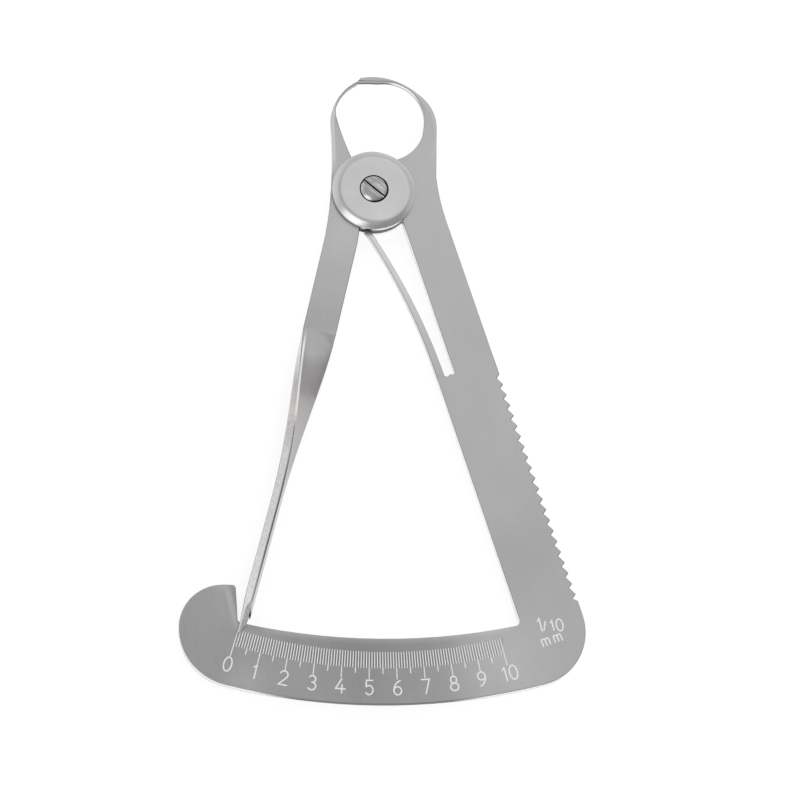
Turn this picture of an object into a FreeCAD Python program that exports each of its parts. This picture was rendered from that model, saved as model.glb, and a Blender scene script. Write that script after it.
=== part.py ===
import FreeCAD, Part
import math
import os

# A dental crown caliper, lying on its back with the scale up. Millimetres and degrees.
# The pivot axis is Z and x = y = 0 lies on it; z = 0 is the outer face of the rear disc.
# The jaws point along +Y. Angles are taken from straight down (-Y), positive to the right (+X).

V = FreeCAD.Vector

# Sheet metal and the stack of discs that clamps it
SHEET = 1.5
REAR_DISC_THICKNESS = 1.5
FRONT_DISC_THICKNESS = 1.4
SIDE_PLAY = 0.03
LAP_PLAY = 0.04

# Pivot
DISC_RADIUS = 6.75
DISC_BEVEL_WIDTH = 1.1
DISC_BEVEL_HEIGHT = 0.7
REAR_BEVEL = 0.4
HUB_INSET = 0.75
LAP_CLEARANCE = 0.15
SHANK_RADIUS = 1.5
RUNNING_CLEARANCE = 0.03
SEAT_CLEARANCE = 0.02
HEAD_RADIUS = 2.2
HEAD_CLEARANCE = 0.15
HEAD_HEIGHT = 0.9
HEAD_DOME = 0.2
DRIVE_WIDTH = 0.42
DRIVE_DEPTH = 0.5
DRIVE_ANGLE = -38.5

# Grip band: two parallel edges, the inner one on a ray from the pivot
GRIP_ANGLE = 18.5
GRIP_WIDTH = 10.0
GRIP_START = 7.7
SHOULDER_X = 10.35
SHOULDER_Y = 3.2
SHOULDER_SWELL = 0.5
SERRATION_DEPTH = 0.65
SERRATION_PITCH = 1.82
SERRATION_START = 35.9
SERRATION_LEAD = 0.5
SERRATION_END_MARGIN = 2.0
TOOTH_LEAN = 0.66
TOOTH_FLAT = 0.12

# Return spring, a leaf between the grip band and the arm
LEAF_ROOT = 33.2
LEAF_ROOT_THICKNESS = 1.35
LEAF_TIP_THICKNESS = 0.8
LEAF_TIP_ANGLE = -8.0
LEAF_SLOT_WIDTH = 1.7
SLOT_CORNER = 0.3
SLOT_LOBE = 0.2
SLOT_RIDGE_MIDDLE = 0.95
SLOT_RIDGE_HALF = 0.42
HEEL_INSET = 0.25
HEEL_GAP_ANGLE = 4.4
HEEL_WIDTH_ANGLE = 6.6

# Scale: an inner and an outer arc, closed by a hook and by a round corner
SCALE_CENTRE_X = -0.8
SCALE_INNER_REACH = 74.95
SCALE_INNER_RADIUS = 103.9
SCALE_WIDTH = 10.55
SCALE_OUTER_RADIUS = 102.2
CORNER_RADIUS = 9.0
HOOK_LENGTH = 9.25
HOOK_TOP_RADIUS = 7.0
HOOK_DROP = 1.0
HOOK_GAP = 0.25
HOOK_LEAN = 0.45
HOOK_TIP_RADIUS = 0.6
FRAME_CORNER = 0.8

# Jaws, closed into a ring. A pair is a point of their outline: its x and its drop below the top.
JAW_REACH = 20.05
TIP_X = -2.7
TIP_GAP = 0.06
FIXED_TIP_HEIGHT = 0.65
FIXED_TIP_SLANT = 0.45
MOVING_TIP_HEIGHT = 0.42
FIXED_CROWN = (3.0, 0.2)
FIXED_CROWN_END = (7.3, 2.5)
FIXED_CHEEK = (9.6, 5.05)
FIXED_CHEEK_END = (10.4, 8.5)
FIXED_THROAT_ANGLE = 157.5
FIXED_THROAT = (6.3, 12.7)
FIXED_WAIST = (8.3, 8.25)
FIXED_INSIDE = (6.3, 2.2)
FIXED_INSIDE_END = (0.8, 0.6)
FIXED_NIB = (-1.0, 0.62)
NIB_DROP = 0.1
MOVING_THROAT_ANGLE = -147.5
MOVING_THROAT = (-5.15, 10.45)
MOVING_WAIST = (-6.4, 6.3)
MOVING_WAIST_RADIUS = 4.0
MOVING_INSIDE = (-5.0, 2.95)
MOVING_OUTSIDE = (-5.85, 3.65)
MOVING_CHEEK = (-7.15, 8.05)
MOVING_FLANK = (-6.75, 15.75)

# Arm: flat to TWIST_START, then turned on edge by TWIST_END, then straight to the pointer
ARM_WIDTH = 5.4
FINGER_WIDTH = 3.95
ARM_TOP_X = -5.15
ARM_TOP_Y = -8.5
ARM_BEND_X = -12.2
ARM_BEND_Y = -41.0
ZERO_ANGLE = -15.21
POINTER_LAP = 3.19
TWIST_START = 0.235
TWIST_END = 0.67
TWIST_ANGLE = 84.0
TWIST_SECTIONS = 9
FACET_RISE_LEFT = 0.58
FACET_RISE_RIGHT = 3.45
POINTER_CLEARANCE = 0.2
NEEDLE_RISE = 1.55
NEEDLE_INSET = 0.35
FINGER_CLEARANCE = 0.6

HUB_RADIUS = DISC_RADIUS - HUB_INSET
SCALE_OUTER_REACH = SCALE_INNER_REACH + SCALE_WIDTH
PLATE_REAR = REAR_DISC_THICKNESS
PLATE_FRONT = PLATE_REAR + SHEET
PLATE_MIDDLE = PLATE_REAR + SHEET / 2
STACK_TOP = PLATE_FRONT + FRONT_DISC_THICKNESS
ARM_REAR = PLATE_REAR + SIDE_PLAY
ARM_THICKNESS = SHEET - 2 * SIDE_PLAY
RECESS_RADIUS = HUB_RADIUS + LAP_CLEARANCE
SLOT_FAR_SIDE = LEAF_ROOT_THICKNESS + LEAF_SLOT_WIDTH
PAST = SHEET


def polar(reach, angle):
    """Point at a distance from the pivot, at an angle from straight down."""
    turn = math.radians(angle)
    return V(reach * math.sin(turn), -reach * math.cos(turn), 0)


def along_grip(reach, across):
    """Point at a distance down the inner edge of the grip band, and across it to the right."""
    return polar(reach, GRIP_ANGLE) + polar(across, GRIP_ANGLE + 90)


def below_top(pair):
    """Point of a jaw's outline, from its x and its drop below the top of the ring."""
    return V(pair[0], JAW_REACH - pair[1], 0)


def face(start, *steps):
    """Flat face. A step is the end of a line, or the middle and the end of an arc."""
    edges = []
    here = start
    for step in steps:
        if isinstance(step, tuple):
            edges.append(Part.Arc(here, step[0], step[1]).toShape())
            here = step[1]
        else:
            edges.append(Part.LineSegment(here, step).toShape())
            here = step
    if here.distanceToPoint(start) > 1e-6:
        edges.append(Part.LineSegment(here, start).toShape())
    return Part.Face(Part.Wire(edges))


def raised(flat, bottom, height):
    """Solid of a flat face between two heights."""
    lifted = flat.translated(V(0, 0, bottom))
    return lifted.extrude(V(0, 0, height))


def cylinder(radius, bottom, top):
    return Part.makeCylinder(radius, top - bottom, V(0, 0, bottom))


def over(point, corner):
    """Whether a point lies straight above or below a corner of an outline."""
    return math.hypot(point.x - corner.x, point.y - corner.y) < 1e-3


def round_corner(solid, corner, radius):
    """Round the upright edge that passes over one corner of an outline."""
    picked = []
    for edge in solid.Edges:
        if all(over(vertex.Point, corner) for vertex in edge.Vertexes):
            picked.append(edge)
    return solid.makeFillet(radius, picked)


def serrations(edge_end):
    """Steps down the grip band's outer edge, as many as fit above the place where the edge ends.

    Each tooth has a long upper and a short lower flank.
    """
    count = math.floor((edge_end - SERRATION_END_MARGIN - SERRATION_START) / SERRATION_PITCH)
    steps = [along_grip(SERRATION_START - SERRATION_LEAD, GRIP_WIDTH)]
    for index in range(count):
        root = SERRATION_START + index * SERRATION_PITCH
        tip = root + TOOTH_LEAN * SERRATION_PITCH
        steps.append(along_grip(root, GRIP_WIDTH - SERRATION_DEPTH))
        steps.append(along_grip(tip, GRIP_WIDTH))
        steps.append(along_grip(tip + TOOTH_FLAT, GRIP_WIDTH))
    last_root = SERRATION_START + count * SERRATION_PITCH
    steps.append(along_grip(last_root, GRIP_WIDTH - SERRATION_DEPTH))
    steps.append(along_grip(last_root + TOOTH_LEAN * SERRATION_PITCH / 2, GRIP_WIDTH))
    return steps


def arc_point(centre, radius, x):
    """Point at a given x on the lower half of a circle."""
    return V(x, centre.y - math.sqrt(radius ** 2 - (x - centre.x) ** 2), 0)


def half_space(point, outward):
    """Large block whose near face passes through a point and whose body lies on the outward side."""
    size = SCALE_OUTER_REACH / 2
    block = Part.makeBox(size, size, size, V(-size / 2, -size / 2, 0))
    block.Placement = FreeCAD.Placement(point, FreeCAD.Rotation(V(0, 0, 1), outward))
    return block


def towards(centre, direction, distance):
    unit = V(direction)
    unit.normalize()
    return centre + unit * distance


def arm_end():
    """End of the arm's centre line: the pointer's tip, on the scale's zero."""
    return polar(SCALE_INNER_REACH + POINTER_LAP, ZERO_ANGLE)


def scale_plate():
    """Fixed jaw, lapped hub, grip band and scale, all of one sheet."""
    inner_centre = V(SCALE_CENTRE_X, SCALE_INNER_RADIUS - SCALE_INNER_REACH, 0)
    outer_centre = V(SCALE_CENTRE_X, SCALE_OUTER_RADIUS - SCALE_OUTER_REACH, 0)

    # The round corner touches the band's outer edge and the scale's outer arc
    across = GRIP_WIDTH - CORNER_RADIUS
    offset = along_grip(0, across) - outer_centre
    ray = polar(1, GRIP_ANGLE)
    half = offset.dot(ray)
    reach = math.sqrt(half ** 2 - offset.dot(offset) + (SCALE_OUTER_RADIUS - CORNER_RADIUS) ** 2) - half
    corner = along_grip(reach, across)
    corner_start = along_grip(reach, GRIP_WIDTH)
    corner_end = towards(corner, corner - outer_centre, CORNER_RADIUS)
    corner_middle = towards(corner, corner_start + corner_end - corner * 2, CORNER_RADIUS)

    # The hook: an arc that leaves the outer arc smoothly, a tighter one over its top, and a flat tip
    hook_root = arc_point(inner_centre, SCALE_INNER_RADIUS, arm_end().x - HOOK_GAP)
    hook_left = hook_root - V(HOOK_LENGTH, HOOK_DROP, 0)
    shift = hook_left - outer_centre
    hook_radius = (SCALE_OUTER_RADIUS ** 2 - shift.dot(shift)) / (2 * (SCALE_OUTER_RADIUS + shift.x))
    hook = hook_left + V(hook_radius, 0, 0)
    hook_end = towards(hook, hook - outer_centre, hook_radius)
    hook_below = towards(hook, hook_end + hook_left - hook * 2, hook_radius)
    crown = hook_left + V(HOOK_TOP_RADIUS, 0, 0)
    hook_above = towards(crown, V(-1, 1, 0), HOOK_TOP_RADIUS)
    hook_top = crown + V(0, HOOK_TOP_RADIUS, 0)
    hook_tip = V(hook_root.x - HOOK_LEAN, hook_top.y, 0)

    band_end = arc_point(inner_centre, SCALE_INNER_RADIUS, along_grip(SCALE_INNER_REACH, 0).x)
    inner_corner = along_grip(band_end.dot(ray), 0)
    ridge = LEAF_ROOT_THICKNESS + SLOT_RIDGE_MIDDLE
    slot_reach = LEAF_ROOT + SLOT_LOBE
    slot_end = along_grip(slot_reach, SLOT_FAR_SIDE)

    nib_front = V(TIP_X, JAW_REACH - FIXED_TIP_HEIGHT, 0)
    flat = face(
        V(TIP_X + FIXED_TIP_SLANT, JAW_REACH - NIB_DROP, 0),
        (below_top(FIXED_CROWN), below_top(FIXED_CROWN_END)),
        (below_top(FIXED_CHEEK), below_top(FIXED_CHEEK_END)),
        V(SHOULDER_X, SHOULDER_Y, 0),
        (V(SHOULDER_X + SHOULDER_SWELL, 0, 0), along_grip(GRIP_START, GRIP_WIDTH)),
        *serrations(reach),
        corner_start,
        (corner_middle, corner_end),
        (arc_point(outer_centre, SCALE_OUTER_RADIUS, 0), hook_end),
        (hook_below, hook_left),
        (hook_above, hook_top),
        hook_tip,
        hook_root,
        (arc_point(inner_centre, SCALE_INNER_RADIUS, 0), inner_corner),
        along_grip(LEAF_ROOT, 0),
        along_grip(LEAF_ROOT, LEAF_ROOT_THICKNESS),
        along_grip(slot_reach, LEAF_ROOT_THICKNESS + SLOT_LOBE),
        along_grip(slot_reach, ridge - SLOT_RIDGE_HALF),
        (along_grip(LEAF_ROOT, ridge), along_grip(slot_reach, ridge + SLOT_RIDGE_HALF)),
        slot_end,
        along_grip(HUB_RADIUS, SLOT_FAR_SIDE),
        V(0, 0, 0),
        polar(HUB_RADIUS, FIXED_THROAT_ANGLE),
        (below_top(FIXED_THROAT), below_top(FIXED_WAIST)),
        (below_top(FIXED_INSIDE), below_top(FIXED_INSIDE_END)),
        (below_top(FIXED_NIB), nib_front - V(0, NIB_DROP, 0)),
        nib_front,
    )
    plate = raised(flat, PLATE_REAR, SHEET)
    plate = round_corner(plate, inner_corner, FRAME_CORNER)
    plate = round_corner(plate, hook_root, FRAME_CORNER)
    plate = round_corner(plate, hook_tip, HOOK_TIP_RADIUS)
    plate = round_corner(plate, slot_end, SLOT_CORNER)

    hub = cylinder(HUB_RADIUS, PLATE_REAR, PLATE_MIDDLE - LAP_PLAY / 2)
    recess = cylinder(RECESS_RADIUS, PLATE_MIDDLE - LAP_PLAY / 2, PLATE_FRONT + PAST)
    bore = cylinder(SHANK_RADIUS + SEAT_CLEARANCE, PLATE_REAR - PAST, PLATE_FRONT + PAST)
    return plate.fuse(hub).cut(recess).cut(bore).removeSplitter()


def arm_frame(share):
    """Point and direction of the arm's gently bent centre line, at a share of its length."""
    path = Part.Arc(V(ARM_TOP_X, ARM_TOP_Y, 0), V(ARM_BEND_X, ARM_BEND_Y, 0), arm_end())
    first = path.FirstParameter
    place = first + (path.LastParameter - first) * share
    return path.value(place), path.tangent(place)[0]


def finger_section(share):
    """Outline across the arm: a flat rectangle that is turned about the centre line and narrows."""
    point, heading = arm_frame(share)
    travel = min(max((share - TWIST_START) / (TWIST_END - TWIST_START), 0), 1)
    eased = math.sin(travel * math.pi / 2)
    turn = math.radians(TWIST_ANGLE) * eased
    width = ARM_WIDTH + (FINGER_WIDTH - ARM_WIDTH) * eased
    side = V(-heading.y, heading.x, 0)
    across = side * math.cos(turn) - V(0, 0, math.sin(turn))
    through = side * math.sin(turn) + V(0, 0, math.cos(turn))
    centre = point + V(0, 0, PLATE_MIDDLE)
    corners = []
    for u, v in ((-1, -1), (1, -1), (1, 1), (-1, 1), (-1, -1)):
        corners.append(centre + across * (u * width / 2) + through * (v * ARM_THICKNESS / 2))
    return Part.makePolygon(corners)


def twisted_finger():
    """The arm's lower half: a loft that turns on edge and runs on as a straight finger."""
    turning = []
    for index in range(TWIST_SECTIONS):
        share = TWIST_START + (TWIST_END - TWIST_START) * index / (TWIST_SECTIONS - 1)
        turning.append(finger_section(share))
    straight = [turning[-1], finger_section((TWIST_END + 1) / 2), finger_section(1)]
    finger = Part.makeLoft(turning, True)
    return finger.fuse(Part.makeLoft(straight, True))


def pointer_cutters():
    """What is cut from the finger's end: a slanting facet in front, a side, and room for the scale."""
    top = V(0, 0, PLATE_MIDDLE + FINGER_WIDTH / 2)
    underside = PLATE_FRONT + POINTER_CLEARANCE
    tip, heading = arm_frame(1)
    right_side = V(-heading.y, heading.x, 0)
    edge = right_side * (ARM_THICKNESS / 2)
    left = tip - heading * (POINTER_LAP + FACET_RISE_LEFT) - edge + top
    right = tip - heading * (POINTER_LAP + FACET_RISE_RIGHT) + edge + top
    needle = tip - edge + right_side * NEEDLE_INSET
    point = needle + V(0, 0, underside)
    front = half_space(left, (point - left).cross(right - left))
    needle_start = tip - heading * (POINTER_LAP + NEEDLE_RISE) - edge
    beside = half_space(needle_start, (needle - needle_start).cross(V(0, 0, 1)))
    end = SCALE_INNER_REACH - FINGER_CLEARANCE
    rear = cylinder(SCALE_OUTER_RADIUS, -SHEET, underside).cut(cylinder(end, -SHEET, underside))
    return front, beside, rear


def pointer_arm():
    """Moving jaw, lapped hub, flat arm, twisted finger and pointer, all of one sheet."""
    start, heading = arm_frame(0)
    bend, bend_heading = arm_frame(TWIST_START)
    side = V(-heading.y, heading.x, 0) * (ARM_WIDTH / 2)
    bend_side = V(-bend_heading.y, bend_heading.x, 0) * (ARM_WIDTH / 2)
    tip_top = V(TIP_X - TIP_GAP, JAW_REACH - FIXED_TIP_HEIGHT, 0)
    tip_foot = tip_top - V(0, MOVING_TIP_HEIGHT, 0)
    heel_reach = DISC_RADIUS - HEEL_INSET
    heel_angle = LEAF_TIP_ANGLE - HEEL_GAP_ANGLE
    flat = face(
        tip_foot,
        tip_top,
        (below_top(MOVING_OUTSIDE), below_top(MOVING_CHEEK)),
        (below_top(MOVING_FLANK), start - side),
        bend - bend_side,
        bend + bend_side,
        start + side,
        polar(heel_reach, heel_angle - HEEL_WIDTH_ANGLE),
        polar(heel_reach, heel_angle),
        V(0, 0, 0),
        polar(HUB_RADIUS, MOVING_THROAT_ANGLE),
        (below_top(MOVING_THROAT), below_top(MOVING_WAIST)),
        (below_top(MOVING_INSIDE), tip_foot),
    )
    arm = raised(flat, ARM_REAR, ARM_THICKNESS)
    arm = round_corner(arm, below_top(MOVING_WAIST), MOVING_WAIST_RADIUS)
    finger = twisted_finger()
    for cutter in pointer_cutters():
        finger = finger.cut(cutter)
    arm = arm.fuse(finger)
    hub = cylinder(HUB_RADIUS, PLATE_MIDDLE + LAP_PLAY / 2, ARM_REAR + ARM_THICKNESS)
    recess = cylinder(RECESS_RADIUS, PLATE_REAR - PAST, PLATE_MIDDLE + LAP_PLAY / 2)
    bore = cylinder(SHANK_RADIUS + RUNNING_CLEARANCE, PLATE_REAR - PAST, PLATE_FRONT + PAST)
    return arm.fuse(hub).cut(recess).cut(bore).removeSplitter()


def leaf_spring():
    """Tapered leaf that leaves the grip band straight and bends over to the disc's rim, by the heel."""
    root = along_grip(LEAF_ROOT, LEAF_ROOT_THICKNESS / 2)
    up = polar(-1, GRIP_ANGLE)
    left = polar(-1, GRIP_ANGLE + 90)
    chord = polar(DISC_RADIUS, LEAF_TIP_ANGLE) - root
    turn = 2 * math.acos(chord.dot(up) / chord.Length)
    radius = chord.Length / (2 * math.sin(turn / 2))
    centre = root + left * radius

    def edge_point(share, offset):
        angle = turn * share
        outward = up * math.sin(angle) - left * math.cos(angle)
        return centre + outward * (radius + offset)

    right_side = []
    left_side = []
    for share in (0, 0.5, 1):
        half = (LEAF_ROOT_THICKNESS + (LEAF_TIP_THICKNESS - LEAF_ROOT_THICKNESS) * share) / 2
        right_side.append(edge_point(share, half))
        left_side.append(edge_point(share, -half))
    round_end = edge_point(1 + LEAF_TIP_THICKNESS / 2 / (radius * turn), 0)
    flat = face(
        right_side[0],
        (right_side[1], right_side[2]),
        (round_end, left_side[2]),
        (left_side[1], left_side[0]),
    )
    return raised(flat, ARM_REAR, ARM_THICKNESS)


def front_disc():
    """Cover washer with a bevelled rim and a counterbore for the screw's head."""
    bevel_start = STACK_TOP - DISC_BEVEL_HEIGHT
    lower = cylinder(DISC_RADIUS, PLATE_FRONT, bevel_start)
    upper = Part.makeCone(DISC_RADIUS, DISC_RADIUS - DISC_BEVEL_WIDTH, DISC_BEVEL_HEIGHT, V(0, 0, bevel_start))
    seat = cylinder(HEAD_RADIUS + HEAD_CLEARANCE, STACK_TOP - HEAD_HEIGHT, STACK_TOP + PAST)
    bore = cylinder(SHANK_RADIUS + SEAT_CLEARANCE, PLATE_FRONT - PAST, STACK_TOP + PAST)
    return lower.fuse(upper).cut(seat).cut(bore).removeSplitter()


def rear_disc():
    """Backing disc that takes the end of the screw."""
    lower = Part.makeCone(DISC_RADIUS - REAR_BEVEL, DISC_RADIUS, REAR_BEVEL)
    upper = cylinder(DISC_RADIUS, REAR_BEVEL, REAR_DISC_THICKNESS)
    bore = cylinder(SHANK_RADIUS + SEAT_CLEARANCE, -PAST, REAR_DISC_THICKNESS + PAST)
    return lower.fuse(upper).cut(bore).removeSplitter()


def pivot_screw():
    """Slotted cheese-head screw with a slightly domed face; its end is filed flush with the rear disc."""
    seat = STACK_TOP - HEAD_HEIGHT
    shank = cylinder(SHANK_RADIUS, 0, seat)
    rim = cylinder(HEAD_RADIUS, seat, STACK_TOP)
    dome_radius = (HEAD_RADIUS ** 2 + HEAD_DOME ** 2) / (2 * HEAD_DOME)
    ball = Part.makeSphere(dome_radius, V(0, 0, STACK_TOP + HEAD_DOME - dome_radius))
    dome = ball.common(cylinder(HEAD_RADIUS, STACK_TOP, STACK_TOP + PAST))
    slot_length = 3 * HEAD_RADIUS
    corner = V(-slot_length / 2, -DRIVE_WIDTH / 2, STACK_TOP + HEAD_DOME - DRIVE_DEPTH)
    slot = Part.makeBox(slot_length, DRIVE_WIDTH, DRIVE_DEPTH + PAST, corner)
    slot.rotate(V(0, 0, 0), V(0, 0, 1), DRIVE_ANGLE)
    return shank.fuse(rim).fuse(dome).cut(slot).removeSplitter()


def main():
    os.makedirs("parts", exist_ok=True)
    pieces = {
        "scale_plate": scale_plate(),
        "pointer_arm": pointer_arm(),
        "leaf_spring": leaf_spring(),
        "front_disc": front_disc(),
        "rear_disc": rear_disc(),
        "pivot_screw": pivot_screw(),
    }
    for name, shape in pieces.items():
        shape.exportStep("parts/" + name + ".step")
        box = shape.BoundBox
        size = "%.2f x %.2f x %.2f" % (box.XLength, box.YLength, box.ZLength)
        print(name, "solids", len(shape.Solids), "valid", shape.isValid(), "size", size)


if __name__ == "__main__":
    main()
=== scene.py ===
import math
from collections import namedtuple

import bmesh
import bpy
from mathutils import Matrix, Vector


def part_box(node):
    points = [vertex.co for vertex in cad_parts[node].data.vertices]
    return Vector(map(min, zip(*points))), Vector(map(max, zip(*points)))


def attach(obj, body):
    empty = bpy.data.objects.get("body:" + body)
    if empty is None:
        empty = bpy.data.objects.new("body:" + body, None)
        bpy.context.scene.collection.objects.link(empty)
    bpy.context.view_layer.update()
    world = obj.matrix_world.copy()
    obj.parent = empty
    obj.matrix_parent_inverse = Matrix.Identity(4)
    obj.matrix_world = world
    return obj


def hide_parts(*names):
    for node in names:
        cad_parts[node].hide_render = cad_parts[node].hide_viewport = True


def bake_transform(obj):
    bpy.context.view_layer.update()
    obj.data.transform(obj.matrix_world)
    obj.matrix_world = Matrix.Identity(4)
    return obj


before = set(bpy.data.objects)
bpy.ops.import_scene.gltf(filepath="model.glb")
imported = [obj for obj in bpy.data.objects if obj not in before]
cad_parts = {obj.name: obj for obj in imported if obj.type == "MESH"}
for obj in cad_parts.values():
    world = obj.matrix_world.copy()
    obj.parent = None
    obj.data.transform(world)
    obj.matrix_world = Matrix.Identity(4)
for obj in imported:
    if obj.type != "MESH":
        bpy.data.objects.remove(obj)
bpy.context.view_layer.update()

MM = 0.001

# The view: direction from the object to the camera, distance, and the point looked at
VIEW_AZIMUTH = -19.323
VIEW_ELEVATION = 71.21
VIEW_ROLL = 20.671
VIEW_DISTANCE = 0.6
VIEW_LENS = 168.37
SENSOR = 36.0
VIEW_AIM = Vector((4.593, -35.468, 3.0)) * MM

# Scale: angles about the pivot from straight down, radii from the pivot, all on the plate's face
ZERO_ANGLE = -15.54
UNIT_ANGLE = 3.108
UNITS = 10
TICKS_PER_UNIT = 10
TICK_TOP = 77.15
FINE_TICK_END = 79.7
HALF_TICK_END = 80.6
LONG_TICK_END = 81.5
TICK_WIDTH = 0.16
ENGRAVING_DEPTH = 0.05
CROSSING_STEP = 0.002
DIGIT_HEIGHT = 2.3
DIGIT_REACH = 84.0
TEN_SPACING = 0.56
STROKE_WIDTH = 0.23
MITRE_LIMIT = 0.45

# Words beside the scale: letter, the middle of its foot, its turn and its height
LABEL = (
    ("1", 27.42, -72.85, 14, 2.2),
    ("/", 27.98, -72.65, 14, 1.4),
    ("1", 29.32, -72.62, 14, 1.65),
    ("0", 30.42, -72.68, 12, 1.95),
    ("m", 28.2, -75.1, 21, 1.7),
    ("m", 30.1, -74.4, 21, 1.7),
)

# Edges: widths of their roundings, angles from which they are rounded or sharp, the angle up to which facets
# are one face, and how upright an edge is that isn't rounded
EDGE_ROUND = 0.14
PLATE_EDGE_ROUND = 0.12
LEAF_ROUND = 0.2
SMALL_EDGE_ROUND = 0.07
BEVEL_ROUND = 0.35
SHARP_ANGLE = math.radians(28)
STEEP_ANGLE = math.radians(45)
CREASE_ANGLE = math.radians(50)
LEAF_SHARP_ANGLE = math.radians(12)
FLAT_ANGLE = math.radians(0.2)
WELD_DISTANCE = 1e-6
UPRIGHT_FROM = 0.5

# Leaf, whose tip the arm's heel bears on: its root on the grip band, where its lengths start, and how its
# root runs into the plate
GRIP_ANGLE = 18.5
LEAF_ROOT = 33.2
LEAF_FIRST_CUT = 7
ROOT_LAP = 0.5
ROOT_BLEND = 4.0
SKIN = 0.002
ROOT_WALL = 0.3

# Arm: where it starts to turn on edge, and how far
ARM_TOP = -8.5
ARM_LENGTH = 66.9
TWIST_START = 0.235
TWIST_END = 0.67
TWIST_ANGLE = 84.0
ARM_SIDE = Vector((0.975, -0.222, 0))
POINTER_LEAN = Vector((0.756, -0.655, 0))
ARM_TOP_X = -5.15
ARM_SLOPE = 0.21692
ARM_BOW = -0.000364
ARM_BOW_END = -41.0
FINGER_HALF_WIDTH = 1.975

# Scale band: the circle of its inner edge
SCALE_EDGE_MIDDLE = (-0.8, 28.95)
SCALE_EDGE_RADIUS = 103.9

# Floor and light
FLOOR_SIZE = 3.0
FLOOR_GAP = 0.00005
FLOOR_MATT = 0.3
FLOOR_GLOW = 0.8
FLOOR_PLAIN = 0.8
SKY_SHADE = 0.42
SKY_EVEN = 0.8

# Sky that metal sees: direction of each lighter or darker part, the cosines where it starts and is full, and
# its strength
SKY_PARTS = (
    ((-1, 0.3, 0.0), 0.55, 0.97, 0.3),
    ((-0.49, -0.54, 0.68), 0.89, 0.99, 0.85),
    ((0.1, 0.9, 0.4), 0.6, 0.95, 0.12),
    ((0.9, 0.3, 0.3), 0.7, 0.95, 0.1),
    ((0.6, -0.65, 0.45), 0.6, 0.95, -0.14),
)
LAMP_PLACE = (0.145, 0.145, 0.3)
LAMP_TURN = 45
LAMP_SIZE = (0.35, 0.4)
LAMP_RADIANCE = 0.26

# Steel: a faint cool cast and a faint warm one, the tone of sheet, the factor of the rear roundings, the
# relief of streaks, and how cut edges face and roundings turn from the left to the right
COOL = (1.004, 0.994, 1.008)
WARM = (1.025, 0.99, 0.982)
SHEET_TONE = 0.63
REAR_LINE_TONE = 0.4
STREAK_RELIEF = 0.24
CUT_FACING = (0.2, 0.5)
LEFT_TO_RIGHT = (-0.3, 0.2)

# Noise: where its rare ends are cut off, for a soft or a hard contrast
SOFT_ENDS = (0.3, 0.7)
HARD_ENDS = (0.35, 0.65)

# Noise: its fineness per millimetre across the streaks, along them and down
STREAK_GRAIN = (9, 0.26, 2.5)
CLOUD_GRAIN = (0.11, 0.06, 0.1)
SPECK_GRAIN = (2.2, 2.2, 2.2)
SCRATCH_GRAIN = (5.0, 1.6, 3.0)
PIT_GRAIN = (2.0, 2.0, 2.0)
SPECKLE_GRAIN = (6.0, 6.0, 6.0)
FLECK_GRAIN = (5.0, 5.0, 5.0)

# Cut edges: the turn of their scratches, the range of their tone, and the height at which their foot ends
PLATE_CUT_TURN = 40
ARM_CUT_TURN = 30
CUT_TONES = (0.82, 1.0)
CUT_FOOT = (2.0, 2.2)
AWAY_FROM_VIEWER = (0.87, 0.5, 0)

Surface = namedtuple("Surface", "place x y z normal nx ny nz")


def unit_direction(azimuth, elevation):
    """Direction from the object towards a viewer."""
    turn = math.radians(azimuth)
    rise = math.radians(elevation)
    return Vector((math.sin(turn) * math.cos(rise), -math.cos(turn) * math.cos(rise), math.sin(rise)))


def add_object(name, data):
    """New object in the scene."""
    made = bpy.data.objects.new(name, data)
    bpy.context.scene.collection.objects.link(made)
    return made


def add_camera():
    back = unit_direction(VIEW_AZIMUTH, VIEW_ELEVATION)
    level_right = Vector((math.cos(math.radians(VIEW_AZIMUTH)), math.sin(math.radians(VIEW_AZIMUTH)), 0))
    level_up = back.cross(level_right)
    roll = math.radians(VIEW_ROLL)
    right = level_right * math.cos(roll) + level_up * math.sin(roll)
    up = level_up * math.cos(roll) - level_right * math.sin(roll)
    data = bpy.data.cameras.new("camera")
    data.lens = VIEW_LENS
    data.sensor_width = SENSOR
    data.sensor_fit = "HORIZONTAL"
    data.clip_start = 0.01
    data.clip_end = 20
    place = Matrix((right, up, back)).transposed().to_4x4()
    place.translation = VIEW_AIM + back * VIEW_DISTANCE
    camera = add_object("camera", data)
    camera.matrix_world = place
    bpy.context.scene.camera = camera


def feed(node, sockets):
    """Give each named socket its value, which is a constant or the output that feeds it."""
    for name, value in sockets.items():
        if isinstance(value, bpy.types.NodeSocket):
            node.id_data.links.new(value, node.inputs[name])
        else:
            node.inputs[name].default_value = value


def shader_node(tree, kind, sockets=None, **settings):
    made = tree.nodes.new("ShaderNode" + kind)
    for key, value in settings.items():
        setattr(made, key, value)
    feed(made, sockets or {})
    return made


def fed_node(kind, sockets, **settings):
    """New node in the tree of the outputs that feed it."""
    tree = next(value.id_data for value in sockets.values() if isinstance(value, bpy.types.NodeSocket))
    return shader_node(tree, kind, sockets, **settings)


def calc(operation, first, second=0.0):
    """Output of a Math node."""
    return fed_node("Math", {0: first, 1: second}, operation=operation).outputs[0]


def chained(operation, values):
    """Output of a row of Math nodes."""
    total = values[0]
    for value in values[1:]:
        total = calc(operation, total, value)
    return total


def product(*factors):
    return chained("MULTIPLY", factors)


def plus(*terms):
    return chained("ADD", terms)


def minus(first, second):
    return calc("SUBTRACT", first, second)


def span(value, low, high, to_low=0.0, to_high=1.0, smooth=False):
    """A value taken from one range to another, and held at its ends."""
    kind = "SMOOTHSTEP" if smooth else "LINEAR"
    sockets = {"Value": value, "From Min": low, "From Max": high, "To Min": to_low, "To Max": to_high}
    return fed_node("MapRange", sockets, interpolation_type=kind).outputs["Result"]


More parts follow.
